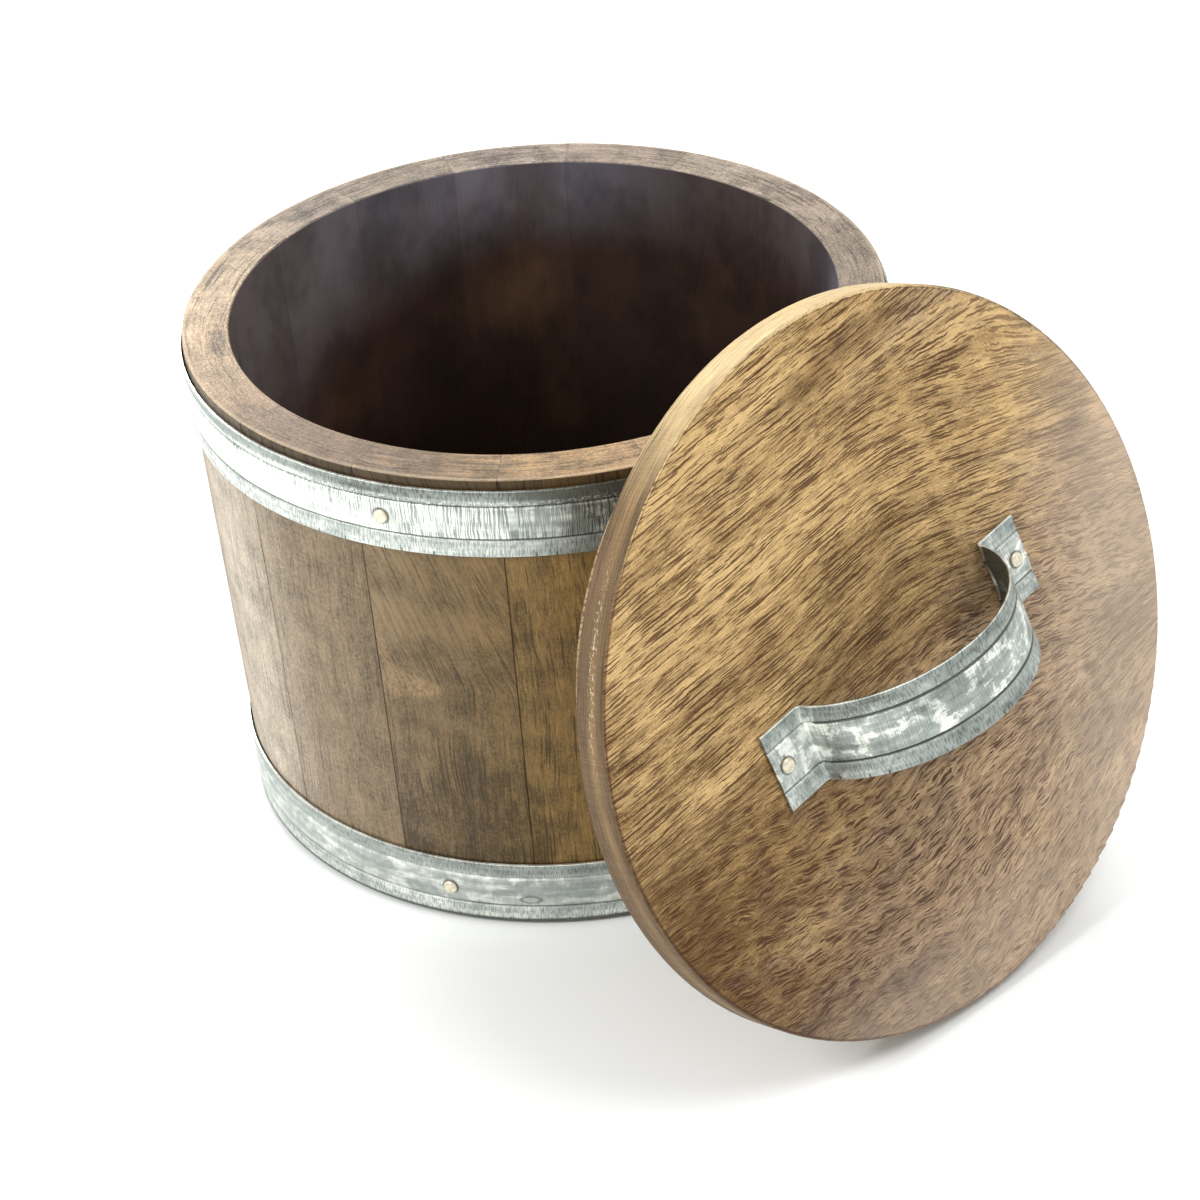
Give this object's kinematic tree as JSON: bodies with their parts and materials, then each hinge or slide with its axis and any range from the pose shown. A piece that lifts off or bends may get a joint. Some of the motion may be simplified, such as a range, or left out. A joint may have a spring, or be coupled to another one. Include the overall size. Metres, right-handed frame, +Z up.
{
  "type": "wooden firkin",
  "caption": "Round stave-built wooden tub with metal hoops and a loose plug lid that leans on its side with the strap handle facing out.",
  "frame": {"origin": "middle of the tub's foot, on the underside of its base board", "axes": "+Z up along the tub's axis, -Y towards the side that the lid leans on, +X to the right seen from that side"},
  "size_m": [0.2643, 0.3625, 0.2449],
  "materials": {
    "stave_wood": "satin",
    "base_wood": "satin",
    "lid_wood": "satin",
    "plug_wood": "matte",
    "hoop_steel": "satin",
    "handle_steel": "satin",
    "nail_steel": "satin"
  },
  "bodies": {
    "tub": {"stave_01": "stave_wood", "stave_02": "stave_wood", "stave_03": "stave_wood", "stave_04": "stave_wood", "stave_05": "stave_wood", "stave_06": "stave_wood", "stave_07": "stave_wood", "stave_08": "stave_wood", "stave_09": "stave_wood", "stave_10": "stave_wood", "stave_11": "stave_wood", "stave_12": "stave_wood", "stave_13": "stave_wood", "stave_14": "stave_wood", "stave_15": "stave_wood", "stave_16": "stave_wood", "base_board": "base_wood", "upper_hoop": "hoop_steel", "lower_hoop": "hoop_steel", "upper_hoop_nails": "nail_steel", "lower_hoop_nails": "nail_steel"},
    "lid": {"lid_slab": "lid_wood", "lid_plug": "plug_wood", "handle_strap": "handle_steel", "handle_nails": "nail_steel"}
  },
  "joints": [
    {"name": "lid_pull", "type": "slide", "parent": "tub", "child": "lid", "axis": [0, -0.9532, 0.3024], "range_m": [0, 0.2]}
  ]
}
